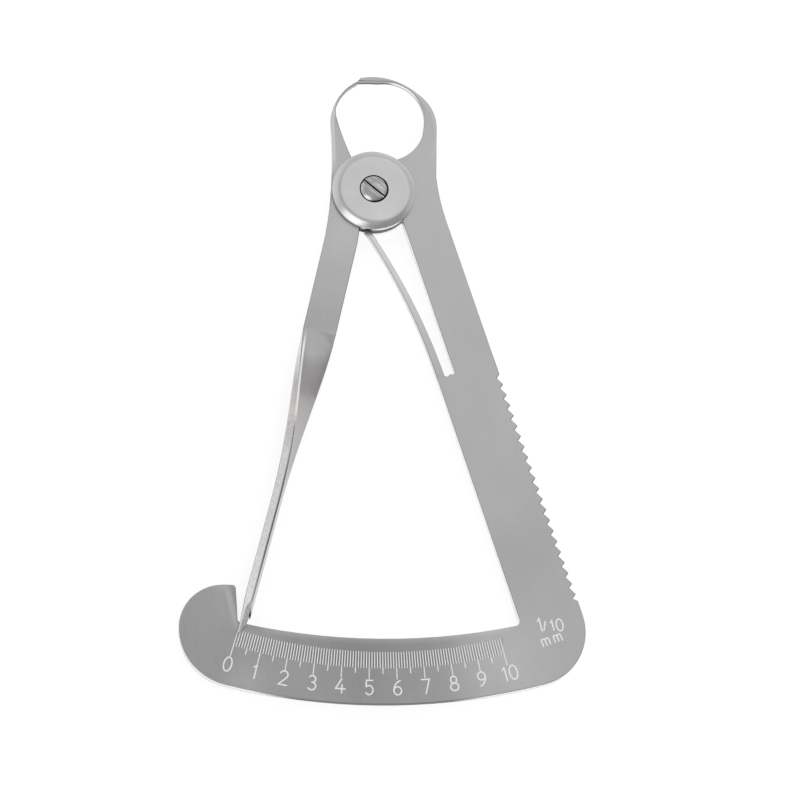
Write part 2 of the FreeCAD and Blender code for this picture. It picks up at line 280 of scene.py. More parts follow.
def fall(value, low, high, smooth=False):
    """1 up to one value, and 0 from another."""
    return span(value, low, high, 1, 0, smooth)


def toned(tone, mask, factor):
    """A tone that is multiplied by a factor where the mask is 1."""
    return product(tone, span(mask, 0, 1, 1.0, factor))


def banded(tone, along, bands):
    """A tone that changes along the part. A band is where it changes, and its factors below and above."""
    for low, high, below, above in bands:
        tone = product(tone, span(along, low, high, below, above))
    return tone


def window(value, low, high, soft):
    """1 between two values and 0 outside them, with soft ends."""
    return product(span(value, low - soft, low + soft), fall(value, high - soft, high + soft))


def between(share, first, second):
    """First value where the share is 0, second where it is 1."""
    return fed_node("Mix", {0: share, 2: first, 3: second}, data_type="FLOAT").outputs[0]


def dot(vector, direction):
    return fed_node("VectorMath", {0: vector, 1: direction}, operation="DOT_PRODUCT").outputs["Value"]


def surface(tree):
    """Place on the object in millimetres, and the direction that its surface faces."""
    source = shader_node(tree, "TexCoord")
    sockets = {0: source.outputs["Object"], "Scale": 1 / MM}
    place = fed_node("VectorMath", sockets, operation="SCALE").outputs[0]
    parts = fed_node("SeparateXYZ", {0: place}).outputs
    normal = source.outputs["Normal"]
    facing = fed_node("SeparateXYZ", {0: normal}).outputs
    return Surface(place, *parts, normal, *facing)


def grain(place, turn, per_mm, detail=2.0, roughness=0.5):
    """Noise from 0 to 1. Its second direction is turned from +Y; per_mm is its fineness in each."""
    turning = {"Vector": place, "Angle": math.radians(-turn)}
    turned = fed_node("VectorRotate", turning, rotation_type="Z_AXIS").outputs[0]
    stretched = fed_node("VectorMath", {0: turned, 1: per_mm}, operation="MULTIPLY").outputs[0]
    sockets = {"Vector": stretched, "Scale": 1.0, "Detail": detail, "Roughness": roughness}
    return fed_node("TexNoise", sockets).outputs["Fac"]


def distance_from(place, x, y, z=3.0):
    return fed_node("VectorMath", {0: place, 1: (x, y, z)}, operation="DISTANCE").outputs["Value"]


def blotches(place, spots):
    """Slow clouds of painted light and shade. A spot is its middle, its reach and its change."""
    total = 1.0
    for x, y, reach, change in spots:
        away = distance_from(place, x, y)
        total = plus(total, span(away, 0, reach, change, 0, smooth=True))
    return total


def new_material(name):
    """New material, with the place and facing that its looks depend on."""
    made = bpy.data.materials.new(name)
    made.use_nodes = True
    return made, surface(made.node_tree)


def finish(made, value, roughness, height, warmth=0.0, others=None):
    """Put tone, gloss and relief on a steel. Height is in hundredths of a millimetre."""
    cast = shader_node(made.node_tree, "Mix", {0: warmth, 4: COOL, 5: WARM}, data_type="VECTOR").outputs[1]
    colour = fed_node("VectorMath", {0: cast, "Scale": value}, operation="SCALE").outputs[0]
    bump = fed_node("Bump", {"Height": height, "Strength": 1.0, "Distance": 0.01 * MM}).outputs[0]
    sockets = {"Base Color": colour, "Roughness": roughness, "Normal": bump, "Metallic": 1.0}
    feed(made.node_tree.nodes["Principled BSDF"], sockets | (others or {}))
    return made


def brushed(place, turn):
    """Faint streaks of a brushed face, slow clouds, and the tone that they give it together."""
    streak = grain(place, turn, STREAK_GRAIN, 3.0, 0.6)
    cloud = grain(place, turn, CLOUD_GRAIN, 3.0, 0.6)
    speck = grain(place, 0, SPECK_GRAIN, 2.0, 0.6)
    tone = plus(span(cloud, *SOFT_ENDS, 0.955, 1.045), span(streak, *SOFT_ENDS, -0.025, 0.025),
                span(speck, *SOFT_ENDS, -0.015, 0.015))
    return streak, cloud, tone


def satin(streak, cloud):
    """Roughness of a brushed face."""
    return span(plus(streak, cloud), 0.7, 1.3, 0.27, 0.35)


def cut_texture(place, turn):
    """Rough grain of a cut edge: fine slanting scratches and small pits."""
    scratch = grain(place, turn, SCRATCH_GRAIN, 3.0, 0.65)
    pit = grain(place, turn, PIT_GRAIN, 2.0, 0.6)
    return plus(product(scratch, 0.65), product(pit, 0.35))


def edge_masks(broad):
    """Share of cut edge, and share of the rounding between it and a broad face."""
    cut = fall(broad, *CUT_FACING, smooth=True)
    rim = product(minus(1.0, cut), fall(broad, 0.93, 0.998))
    return cut, rim


def with_rear_line(value, nz):
    """A tone with the rounding of the rear edges in shade."""
    line = product(fall(nz, -0.5, -0.25), span(nz, -0.985, -0.93, 0, 1))
    return toned(value, line, REAR_LINE_TONE)


def far_line(here):
    """Factor of painted shade on the upper part of the edges that face away from the viewer."""
    away = span(dot(here.normal, AWAY_FROM_VIEWER), 0.2, 0.5)
    away = product(away, span(here.nz, 0.05, 0.15))
    return span(away, 0, 1, 1.0, 0.25)


def cut_foot(here, texture):
    """Share of the lower half of a cut edge, with a ragged upper end."""
    return fall(plus(here.z, product(texture, 0.5)), *CUT_FOOT)


# Plate: spots of painted reflection, lighter and darker, each with its middle, its reach and its change
PLATE_SPOTS = (
    (1.0, -78.5, 20.0, -0.16),
    (22.5, -79.0, 13.0, 0.18),
    (-27.0, -78.0, 14.0, -0.03),
    (-19.5, -82.5, 5.0, 0.16),
    (-23.5, -67.0, 2.0, 0.14),
    (24.5, -60.0, 9.0, -0.08),
    (9.0, 3.0, 14.0, 0.02),
)
FACES_FRONT = (0.0, 0.3)

# Light line and dark strip by the inner edge of the scale: start and end from that edge, reach in x, and tone
LIGHT_LINE_START = (-0.4, -0.1)
LIGHT_LINE_END = (0.0, 1.0)
LIGHT_LINE_X = (-17.0, 22.5)
LIGHT_LINE_TONE = 1.15
DARK_STRIP_START = (0.0, 1.0)
DARK_STRIP_END = (2.5, 5.0)
DARK_STRIP_X = (-15.0, 13.5)
DARK_STRIP_TONE = 0.88

# Hook: the line of its inner edge, where the streak beside it begins and ends, and their tones
HOOK_ACROSS = (0.966, 0.259, 0)
HOOK_DISTANCE = 39.35
HOOK_STREAK_WIDTH = 0.75
HOOK_LOW = (-75.0, -72.5)
HOOK_HIGH = (-68.3, -67.0)
HOOK_RIGHT = (-17.0, -16.0)
HOOK_STREAK_TONE = 1.22
HOOK_RIM_START = (0.5, 0.75)
HOOK_RIM_TONE = 0.84
HOOK_OUTSIDE_X = (-22.0, -20.0)
HOOK_OUTSIDE_TONE = 1.15

# Right jaw: the circle and the width of the lighter band along its outer edge
CHEEK_MIDDLE = (0.67, 10.3)
CHEEK_BAND = (9.45, 10.1)
CHEEK_LEFT = (2.0, 5.0)
CHEEK_FOOT = (6.0, 9.0)
CHEEK_TONE = 1.12

# Right jaw, cut edge: painted shade, with a painted highlight strip inside its shoulder and painted shade
# along the foot inside its tip
JAW_START = (6.0, 8.0)
JAW_SHADE_TONE = 0.42
SHOULDER_X = (2.8, 7.2)
SHOULDER_Y = (14.5, 16.0)
SHOULDER_Z = (2.0, 2.6)
TIP_X = (1.5, 3.5)
TIP_Y = (15.0, 16.0)
TIP_Z = (2.2, 2.35)
TIP_TONE = 0.12
FACES_DOWN = (-0.7, -0.4)

# Painted shade between the fine ticks
FINE_TICKS_X = (-21.0, 21.0)
BETWEEN_TICKS_TONE = 0.72

# Lower edge of the scale, which lies in shade but for its ends
SHADE_Y = (-76.0, -74.0)
SHADE_LEFT = (-14.0, -8.0)
SHADE_RIGHT = (13.0, 19.0)

# Where the foot of a cut edge has no painted shade
PALE_FOOT_Y = (-68.0, -12.0)

# Roundings, drawn as a line of painted shade: on the left, on the right, and on the right beside the teeth
TEETH_Y = (-67.0, -27.0)
LEFT_RIM_TONE = 0.8
RIGHT_RIM_TONE = 0.55
TEETH_RIM_TONE = 0.1


def plate_face(here, tone):
    """Tone of the plate's broad faces."""
    face = product(tone, blotches(here.place, PLATE_SPOTS), SHEET_TONE)
    front = span(here.nz, *FACES_FRONT)
    # Scale band: lighter along its inner edge, then a darker strip
    inset = minus(distance_from(here.place, *SCALE_EDGE_MIDDLE), SCALE_EDGE_RADIUS)
    light = product(span(inset, *LIGHT_LINE_START), fall(inset, *LIGHT_LINE_END))
    light = product(light, window(here.x, *LIGHT_LINE_X, 0.5), front)
    dark = product(span(inset, *DARK_STRIP_START), fall(inset, *DARK_STRIP_END))
    dark = product(dark, window(here.x, *DARK_STRIP_X, 1.5), front)
    face = toned(face, light, LIGHT_LINE_TONE)
    face = toned(face, dark, DARK_STRIP_TONE)
    # Hook: a soft lighter streak beside its inner edge, which is darker
    beside = plus(dot(here.place, HOOK_ACROSS), HOOK_DISTANCE)
    hook = fall(calc("ABSOLUTE", beside), 0.0, HOOK_STREAK_WIDTH, smooth=True)
    along_hook = product(span(here.y, *HOOK_LOW), fall(here.y, *HOOK_HIGH))
    along_hook = product(along_hook, fall(here.x, *HOOK_RIGHT), front)
    face = toned(face, product(hook, along_hook), HOOK_STREAK_TONE)
    dim = product(span(beside, *HOOK_RIM_START), along_hook)
    face = toned(face, dim, HOOK_RIM_TONE)
    # Right jaw: a lighter band along its outer edge
    cheek = window(distance_from(here.place, *CHEEK_MIDDLE), *CHEEK_BAND, 0.12)
    cheek = product(cheek, span(here.x, *CHEEK_LEFT), span(here.y, *CHEEK_FOOT))
    face = toned(face, cheek, CHEEK_TONE)
    # Painted shade between the fine ticks
    reach = distance_from(here.place, 0, 0)
    fine_ticks = window(reach, TICK_TOP, FINE_TICK_END, 0.1)
    fine_ticks = product(fine_ticks, window(here.x, *FINE_TICKS_X, 0.4), front)
    return toned(face, fine_ticks, BETWEEN_TICKS_TONE)


def plate_cut(here, texture):
    """Tone of the plate's cut edges."""
    edge = span(texture, *HARD_ENDS, *CUT_TONES)
    # Painted shade on the foot of a cut edge, but for one stretch along y
    pale_foot = window(here.y, *PALE_FOOT_Y, 2.0)
    foot = product(cut_foot(here, texture), fall(pale_foot, 0, 1))
    edge = between(foot, edge, product(edge, 0.5))
    edge = product(edge, far_line(here))
    # Jaw: its cut edge is in painted shade, but for a painted highlight strip inside its shoulder
    jaw = span(here.y, *JAW_START)
    bright = product(window(here.x, *SHOULDER_X, 0.5), span(here.y, *SHOULDER_Y))
    bright = product(bright, window(here.z, *SHOULDER_Z, 0.08))
    edge = between(jaw, edge, between(bright, JAW_SHADE_TONE, 1.0))
    # The inside of the jaw's tip has painted shade along its foot
    tip_shade = product(fall(here.ny, *FACES_DOWN), fall(here.x, *TIP_X),
                   span(here.y, *TIP_Y), fall(here.z, *TIP_Z))
    edge = between(tip_shade, edge, TIP_TONE)
    # The lower edge of the scale lies in shade, but for its two ends. The shade's left end is ragged.
    ragged = plus(here.x, product(texture, 8.0))
    below = product(fall(here.ny, *FACES_DOWN), fall(here.y, *SHADE_Y),
                    span(ragged, *SHADE_LEFT), fall(here.x, *SHADE_RIGHT))
    return between(below, edge, span(here.z, 1.9, 2.1, 1.0, 0.1))


def plate_steel():
    """Satin sheet with painted shade on its roundings, bright cut edges and a band of painted shade between
    the fine ticks.
    """
    made, here = new_material("plate_steel")
    streak, cloud, tone = brushed(here.place, GRIP_ANGLE)
    face = plate_face(here, tone)
    cut, rim = edge_masks(calc("ABSOLUTE", here.nz))
    texture = cut_texture(here.place, PLATE_CUT_TURN)
    # Rounding: a line of painted shade, darker on the right, but a painted highlight at the outside of the
    # hook
    pale = product(fall(here.nx, -0.35, -0.1), fall(here.x, *HOOK_OUTSIDE_X))
    right = between(window(here.y, *TEETH_Y, 0.5), RIGHT_RIM_TONE, TEETH_RIM_TONE)
    line = between(span(here.nx, *LEFT_TO_RIGHT), LEFT_RIM_TONE, right)
    line = product(face, between(pale, line, HOOK_OUTSIDE_TONE))
    value = between(rim, face, line)
    value = between(cut, value, plate_cut(here, texture))
    value = with_rear_line(value, here.nz)
    gloss = between(cut, satin(streak, cloud), 0.4)
    height = between(cut, product(streak, STREAK_RELIEF), product(texture, 1.2))
    return finish(made, value, gloss, height)


# Arm: a spot of painted reflection, and bands of painted light and shade along the twist as the photograph's
# light and dark ones
ARM_GRAIN_TURN = -13
ARM_SPOTS = ((-5.0, -7.0, 9.0, 0.08),)
ARM_BANDS = (
    (-22.0, -17.0, 0.92, 1.0),
    (-35.2, -31.5, 0.73, 1.0),
    (-46.0, -42.0, 0.87, 1.0),
    (-52.0, -47.0, 1.45, 1.0),
)

# Painted highlight at the start of the twist: where it ends, where it begins, how it grows to the right, and
# its tone
TWIST_LIGHT_END = (-25.2, -24.2)
TWIST_LIGHT_START = (-30.0, -26.0)
TWIST_LIGHT_ACROSS = (-0.5, 2.6)
TWIST_LIGHT_TONE = 1.15

# Painted highlight along the left corner of the twist, by the distance from that corner and by y
HALF_SHEET = 0.72
CORNER_LINE = (-0.3, 0.02)
CORNER_LINE_Y = (-40.0, -25.5)
CORNER_SCATTER = 0.6

# Left jaw: the circle of its outer edge, the lighter band along it and the darker inside
JAW_MIDDLE = (1.6, 11.8)
JAW_RADIUS = 8.77
JAW_FLAT_FOOT = 4.1
JAW_FLAT_INSET = 0.42
JAW_BAND = (0.5, 0.8)
JAW_BAND_Y = (3.0, 6.0)
JAW_BAND_TONE = 1.3
JAW_INSIDE = (0.7, 0.9)
JAW_INSIDE_Y = (11.0, 13.5)
JAW_INSIDE_TONE = 0.74
JAW_INWARD = (0.55, -0.83, 0)
JAW_CUT_Y = (7.0, 9.0)

# Cut edge of the arm, in painted light and shade: pale beside the flat part, grey where the twist begins,
# bright on the finger; its foot and the part under the disc in painted shade
CUT_BANDS = (
    (-32.5, -27.0, 0.6, 0.85),
    (-38.5, -34.0, 1.6, 1.0),
    (-43.0, -39.0, 1.2, 1.0),
)
ARM_FOOT_Z = (1.75, 1.95)
ARM_FOOT_Y = (-30.0, -26.0)
UNDER_DISC = (7.2, 7.7)

# Painted shade in the crease along the finger's upper edge: its place across, how deep it is along the
# finger, and its tone
CREASE = (0.42, 0.7)
CREASE_LOW = (-69.0, -62.0)
CREASE_MIDDLE = (-50.0, -43.0)
CREASE_HIGH = (-43.0, -36.5)
CREASE_TONE = 0.2
FACES_UP = (0.3, 0.6)

# Pointer: painted shadow on the side of its tip, its ground facet, and the painted shade at the end of that
# facet
TIP_SIDE_FACING = (0.5, 0.8)
TIP_SIDE_Y = (-71.3, -70.6)
TIP_SIDE_TONE = 0.03
FACET_FACING = (0.1, 0.2)
FACET_UP = (0.5, 0.6)
FACET_Y = (-69.8, -69.4)
FACET_SPLIT = (-0.15, 0.05)
FACET_END_Y = (-75.2, -74.6)
FACET_SCATTER = 0.7

# Finger: where its rough top starts to scatter light, where it scatters more, and where the steel is warm
SCATTER_Y = (-45.0, -41.0)
SCATTER_LOW_Y = (-70.0, -58.0)
WARM_Y = (-42.0, -30.0)


def arm_turn(y):
    """Sine and cosine of the angle by which the arm is twisted at a place along it."""
    share = calc("DIVIDE", minus(ARM_TOP, y), ARM_LENGTH)
    travel = span(share, TWIST_START, TWIST_END)
    eased = calc("SINE", product(travel, math.pi / 2))
    turn = product(eased, math.radians(TWIST_ANGLE))
    return calc("SINE", turn), calc("COSINE", turn)


def arm_across(here, cosine):
    """Distances across the arm: from its middle, and from the edge that the twist raises."""
    after_top = minus(here.y, ARM_TOP)
    bow = product(after_top, minus(here.y, ARM_BOW_END), ARM_BOW)
    middle = plus(product(after_top, ARM_SLOPE), ARM_TOP_X, bow)
    lateral = product(minus(here.x, middle), ARM_SIDE.x)
    return lateral, plus(lateral, product(cosine, FINGER_HALF_WIDTH))


def arm_face(here, tone, lateral, tip_side):
    """Tone of the arm's broad faces."""
    # Painted reflection: a light spot, and light and dark bands along the twist
    face = product(tone, blotches(here.place, ARM_SPOTS), SHEET_TONE)
    face = banded(face, here.y, ARM_BANDS)
    # Painted highlight where the twist starts
    start = product(fall(here.y, *TWIST_LIGHT_END), span(here.y, *TWIST_LIGHT_START),
                    span(lateral, *TWIST_LIGHT_ACROSS))
    face = toned(face, start, TWIST_LIGHT_TONE)
    # Painted shadow on the side of the pointer's tip
    face = toned(face, tip_side, TIP_SIDE_TONE)
    # Left jaw: a lighter ground band along its outer edge, and a darker inside
    middle_x, middle_y = JAW_MIDDLE
    rise = calc("MAXIMUM", minus(here.y, middle_y), 0.0)
    across = minus(here.x, middle_x)
    reach = calc("SQRT", plus(product(rise, rise), product(across, across)))
    inset = minus(JAW_RADIUS, reach)
    inset = minus(inset, span(here.y, JAW_FLAT_FOOT, middle_y, JAW_FLAT_INSET, 0.0))
    band = product(fall(inset, *JAW_BAND), span(here.y, *JAW_BAND_Y))
    face = toned(face, band, JAW_BAND_TONE)
    inner = product(span(inset, *JAW_INSIDE), span(here.y, *JAW_INSIDE_Y))
    return toned(face, inner, JAW_INSIDE_TONE)


def arm_cut(here, texture):
    """Tone of the arm's cut edges."""
    # Painted light and shade along the twist
    edge = banded(span(texture, *HARD_ENDS, *CUT_TONES), here.y, CUT_BANDS)
    edge = calc("MINIMUM", edge, span(texture, 0.38, 0.62, 0.8, 1.0))
    # Painted shade along the foot, on the flat part above the twist
    foot = product(fall(here.z, *ARM_FOOT_Z), span(here.y, *ARM_FOOT_Y))
    edge = between(foot, edge, product(edge, 0.6))
    edge = product(edge, far_line(here))
    # Painted shade on the inner cut edge of the left jaw
    inward = span(dot(here.normal, JAW_INWARD), 0.1, 0.4)
    edge = between(product(inward, span(here.y, *JAW_CUT_Y)), edge, JAW_SHADE_TONE)
    # Painted shadow under the disc
    pivot_reach = distance_from(here.place, 0, 0)
    return product(edge, span(pivot_reach, *UNDER_DISC, 0.2, 1.0))


def arm_steel():
    """Satin sheet. Where the arm is twisted, its cut edge becomes a bright grainy strip."""
    made, here = new_material("arm_steel")
    sine, cosine = arm_turn(here.y)
    lateral, offset = arm_across(here, cosine)
    sideways = dot(here.normal, ARM_SIDE)
    upwards = span(here.nz, *FACES_UP)
    broad = plus(product(sideways, sine), product(here.nz, cosine))
    cut, rim = edge_masks(calc("ABSOLUTE", broad))
    streak, cloud, tone = brushed(here.place, ARM_GRAIN_TURN)
    texture = cut_texture(here.place, ARM_CUT_TURN)
    tip_side = product(span(sideways, *TIP_SIDE_FACING), fall(here.y, *TIP_SIDE_Y))
    face = arm_face(here, tone, lateral, tip_side)
    # Rounding: a line of painted shade between the cut edge and the broad face, darker on the right
    line = product(face, span(sideways, *LEFT_TO_RIGHT, 0.85, 0.3))
    value = between(rim, face, line)
    value = between(cut, value, arm_cut(here, texture))
    # Left corner where the twist begins: a painted highlight line
    from_corner = minus(offset, product(sine, HALF_SHEET))
    lit = product(window(from_corner, *CORNER_LINE, 0.05), window(here.y, *CORNER_LINE_Y, 1.5),
                  span(here.nz, 0.1, 0.3))
    value = between(lit, value, 1.0)
    # Finger: painted shade in a crease along the right of its upper edge
    wander = product(minus(texture, 0.5), 0.3)
    crease = window(plus(offset, wander), *CREASE, 0.06)
    low = span(here.y, *CREASE_MIDDLE, 0.82, 0.0)
    depth = plus(low, span(here.y, *CREASE_HIGH, 0.18, 0.0))
    depth = product(depth, span(here.y, *CREASE_LOW, 0.6, 1.0))
    value = between(product(crease, upwards, depth), value, CREASE_TONE)
    # Ground facet of the pointer: a painted highlight on its left, painted shade at the tip
    facet = product(span(dot(here.normal, POINTER_LEAN), *FACET_FACING),
                    span(here.nz, *FACET_UP), fall(here.y, *FACET_Y))
    speckle = span(grain(here.place, 0, SPECKLE_GRAIN, 2.0, 0.6), *HARD_ENDS, 0.35, 0.75)
    ground = between(span(offset, *FACET_SPLIT), 1.0, speckle)
    ground = product(ground, span(here.y, *FACET_END_Y, 0.15, 1.0))
    value = between(facet, value, ground)
    value = with_rear_line(value, here.nz)
    gloss = between(cut, satin(streak, cloud), 0.36)
    height = between(cut, product(streak, STREAK_RELIEF), product(texture, 0.9))
    # The rough top of the finger scatters some of its light
    scatter = span(here.y, *SCATTER_Y, 0.5, 0.0)
    scatter = plus(scatter, span(here.y, *SCATTER_LOW_Y, 0.4, 0.0))
    scatter = product(product(cut, upwards), scatter)
    scatter = calc("MAXIMUM", scatter, product(lit, CORNER_SCATTER))
    scatter = between(facet, scatter, FACET_SCATTER)
    # The painted shadow at the tip's side is also matt, with no mirror
    metallic = minus(1.0, calc("MAXIMUM", scatter, tip_side))
    mirror = product(minus(1.0, tip_side), 0.5)
    warmth = window(here.y, *WARM_Y, 3.0)
    return finish(made, value, gloss, height, warmth, {"Metallic": metallic, "Specular IOR Level": mirror})


# Leaf: bands of painted light and shade by the distance from the pivot
BLADE_GRAIN_TURN = 25
BLADE_FADING = (16.0, 27.0, 0.88, 0.71)
BLADE_ROOT = (29.0, 33.0, 1.0, 0.89)
BLADE_UNDER_DISC = (7.1, 7.9)
BLADE_CUT_TONES = (0.7, 0.86)


def blade_steel():
    """Satin leaf with bright walls, and painted shadow where it goes under the disc."""
    made, here = new_material("blade_steel")
    streak, _, tone = brushed(here.place, BLADE_GRAIN_TURN)
    reach = distance_from(here.place, 0, 0)
    # Painted light and shade by the distance from the pivot
    fading = product(span(reach, *BLADE_FADING), span(reach, *BLADE_ROOT))
    face = product(tone, fading)
    cut, rim = edge_masks(calc("ABSOLUTE", here.nz))
    texture = cut_texture(here.place, PLATE_CUT_TURN)
    edge = span(texture, *HARD_ENDS, *BLADE_CUT_TONES)
    edge = between(cut_foot(here, texture), edge, product(edge, 1.12))
    # Rounding: a line of painted shade
    value = between(rim, face, product(face, 0.7))
    value = between(cut, value, edge)
    under = fall(reach, *BLADE_UNDER_DISC, smooth=True)
    value = toned(value, under, 0.2)
    value = with_rear_line(value, here.nz)
    gloss = between(cut, 0.3, 0.38)
    height = between(cut, product(streak, STREAK_RELIEF), product(texture, 0.8))
    return finish(made, value, gloss, height)


def around(here):
    """Distance from the pivot's axis, and the angle round it from +X in degrees."""
    square = plus(product(here.x, here.x), product(here.y, here.y))
    angle = product(calc("ARCTAN2", here.y, here.x), math.degrees(1))
    return calc("SQRT", square), angle


# Discs: the painted light spot on the face, the turning rings, the counterbore's wall in painted shade, and
# upright walls in painted light and shade. Angles are from +X.
DISC_SPOTS = ((1.0, -4.5, 5.0, 0.08),)
DISC_TONE = 0.79
BEVEL_TONE = 0.81
RING_GRAIN = (7.0, 1.0, 5.0)
SPOKE_GRAIN = (0.6, 14.0, 1.0)
DISC_CLOUD_GRAIN = (0.25, 0.25, 0.25)
RING_STEP = 0.02
FACES_AXIS = (0.87, 0.97)
STRIPED_ANGLES = (-125.0, -15.0)
WELL_RADIUS = (2.3, 2.42)
WELL_TOP = (4.3, 4.38)
WELL_TONE = 0.03
FREE_WALL_ANGLES = (-84.0, -52.0)
FREE_WALL_TONE = 0.95
COVERED_WALL_Z = (3.1, 3.25)
COVERED_WALL_TONES = (0.08, 0.62)
REAR_DISC_TOP = (1.8, 2.2)
REAR_DISC_TONE = 0.96


def turned_steel():
    """Turned disc: a soft plain face, and finer rings on its bevelled rim."""
    made, here = new_material("turned_steel")
    reach, angle = around(here)
    turned = fed_node("CombineXYZ", {0: reach, 1: product(angle, RING_STEP), 2: here.z}).outputs[0]
    rings = grain(turned, 0, RING_GRAIN, 3.0, 0.6)
    cloud = grain(here.place, 0, DISC_CLOUD_GRAIN, 2.0, 0.5)
    ringed = span(rings, *SOFT_ENDS, -0.012, 0.012)
    tone = plus(span(cloud, *SOFT_ENDS, 0.97, 1.03), ringed)
    face = product(tone, blotches(here.place, DISC_SPOTS), DISC_TONE)
    rim = fall(calc("ABSOLUTE", here.nz), *FACES_AXIS)
    low = window(angle, *STRIPED_ANGLES, 15.0)
    stripes = span(rings, *HARD_ENDS, 0.7, 1.0)
    spoke = grain(turned, 0, SPOKE_GRAIN, 2.0, 0.6)
    stripes = product(stripes, span(spoke, *HARD_ENDS, 0.92, 1.06))
    chamfer = between(low, product(tone, BEVEL_TONE), stripes)
    value = between(rim, face, chamfer)
    # Painted shade in the gap of the counterbore round the screw
    well = product(fall(reach, *WELL_RADIUS), fall(here.z, *WELL_TOP))
    value = between(well, value, WELL_TONE)
    # Upright wall: painted shade where the sheet is below it, painted light where nothing is. The disc behind
    # is painted light.
    wall = fall(calc("ABSOLUTE", here.nz), *CUT_FACING)
    free = window(angle, *FREE_WALL_ANGLES, 3.0)
    covered = span(here.z, *COVERED_WALL_Z, *COVERED_WALL_TONES)
    value = between(wall, value, between(free, covered, FREE_WALL_TONE))
    value = between(fall(here.z, *REAR_DISC_TOP), value, REAR_DISC_TONE)
    gloss = between(rim, 0.32, 0.24)
    return finish(made, value, gloss, product(rings, 0.2))


# Screw: the turn of its slot, its spots of painted highlight and painted shade, the slot's half width and
# floor, and the rim in shade
SLOT_TURN = -38.5
SCREW_GRAIN_TURN = 51.5
SCREW_GRAIN = (6.0, 0.5, 1.0)
SCREW_TONE = 0.7
SCREW_SPOTS = (
    (-0.8, -1.2, 1.9, 0.3),
    (1.3, -1.3, 1.6, -0.15),
)
SLOT_HALF = (0.2, 0.24)
SLOT_Z = (4.0, 4.38)
SLOT_SPLIT = (0.06, 0.16)
SLOT_TONES = (1.0, 0.03)
SLOT_LIP = (-0.33, -0.2)
SLOT_LIP_Z = (4.36, 4.4)
SLOT_LIP_TONE = 0.35
SLOT_WALL_TONE = 0.02
HEAD_INSIDE = (2.05, 2.15)
HEAD_RIM = (2.0, 2.1)
RIM_SHADE_ANGLES = (-105.0, 50.0)
RIM_SHADE_TONE = 0.04
DOME_HEIGHT = -8.0


def screw_steel():
    """Polished screw: brushed along its slot, which has painted shade on one side, with painted shade in the
    gap round it.
    """
    made, here = new_material("screw_steel")
    reach, angle = around(here)
    along = math.radians(SLOT_TURN)
    beside = Vector((-math.sin(along), math.cos(along), 0))
    offset = dot(here.place, beside)
    streak = grain(here.place, SCREW_GRAIN_TURN, SCREW_GRAIN, 2.0, 0.6)
    strength = span(offset, -1.4, 0.5, 0.05, 0.6)
    swing = minus(span(streak, *HARD_ENDS), 0.5)
    tone = plus(1.0, product(swing, strength))
    # Painted highlight and painted shade on the dome
    value = product(tone, SCREW_TONE, blotches(here.place, SCREW_SPOTS))
    # Slot: its floor is bright on one side, and the other side lies in shade
    inside = product(fall(calc("ABSOLUTE", offset), *SLOT_HALF), window(here.z, *SLOT_Z, 0.02))
    value = between(inside, value, span(offset, *SLOT_SPLIT, *SLOT_TONES))
    # Painted shade along one top edge of the slot
    lip = product(window(offset, *SLOT_LIP, 0.03), span(here.z, *SLOT_LIP_Z))
    value = toned(value, lip, SLOT_LIP_TONE)
    shaded_wall = fall(dot(here.normal, beside), -0.6, -0.3)
    shaded_wall = product(shaded_wall, fall(reach, *HEAD_INSIDE))
    value = between(shaded_wall, value, SLOT_WALL_TONE)
    # Rim of the head, in shade on the right and below
    rim = product(span(reach, *HEAD_RIM), window(angle, *RIM_SHADE_ANGLES, 15.0))
    value = between(rim, value, RIM_SHADE_TONE)
    # Steep faces darker: painted shade in the gap round the head
    value = product(value, span(calc("ABSOLUTE", here.nz), 0.3, 0.7, 0.15, 1.0))
    dome = product(reach, reach, DOME_HEIGHT)
    return finish(made, value, span(streak, *SOFT_ENDS, 0.17, 0.23), dome)


def etched_metal(name):
    """Pale frosted floor of the engraved lines."""
    made, here = new_material(name)
    value = span(grain(here.place, 0, FLECK_GRAIN), *SOFT_ENDS, 0.92, 1.0)
    colour = fed_node("CombineColor", {0: value, 1: value, 2: value}).outputs[0]
    feed(made.node_tree.nodes["Principled BSDF"], {"Base Color": colour, "Metallic": 0.15, "Roughness": 0.5})
    return made


def bevel(node, name, width, angle, segments, clamp=True):
    """Round the edges steeper than an angle. The width is in millimetres."""
    edge = node.modifiers.new(name, "BEVEL")
    edge.width = width * MM
    edge.segments = segments
    edge.limit_method = "ANGLE"
    edge.angle_limit = angle
    edge.harden_normals = True
    edge.miter_outer = "MITER_SHARP"
    edge.use_clamp_overlap = clamp


def join_facets(node):
    """Join a CAD node's facets into whole flat faces."""
    weld = node.modifiers.new("weld", "WELD")
    weld.merge_threshold = WELD_DISTANCE
    flat = node.modifiers.new("flat", "DECIMATE")
    flat.decimate_type = "DISSOLVE"
    flat.angle_limit = FLAT_ANGLE


def edge_group(name, least_angle):
    """New geometry nodes, with their way in and out and the output that picks the steeper edges."""
    group = bpy.data.node_groups.new(name, "GeometryNodeTree")
    for way in ("INPUT", "OUTPUT"):
        group.interface.new_socket("Geometry", in_out=way, socket_type="NodeSocketGeometry")
    start = group.nodes.new("NodeGroupInput")
    end = group.nodes.new("NodeGroupOutput")
    angle = group.nodes.new("GeometryNodeInputMeshEdgeAngle")
    steep = calc("GREATER_THAN", angle.outputs["Unsigned Angle"], least_angle)
    return group, start.outputs[0], end.inputs[0], steep


def crease_by_angle():
    """Geometry nodes that mark the edges steeper than a rounding's own steps as sharp."""
    group, start, end, steep = edge_group("crease_by_angle", CREASE_ANGLE)
    mark = group.nodes.new("GeometryNodeSetShadeSmooth")
    mark.domain = "EDGE"
    mark.inputs["Shade Smooth"].default_value = False
    group.links.new(start, mark.inputs["Geometry"])
    group.links.new(steep, mark.inputs["Selection"])
    group.links.new(mark.outputs["Geometry"], end)
    return group


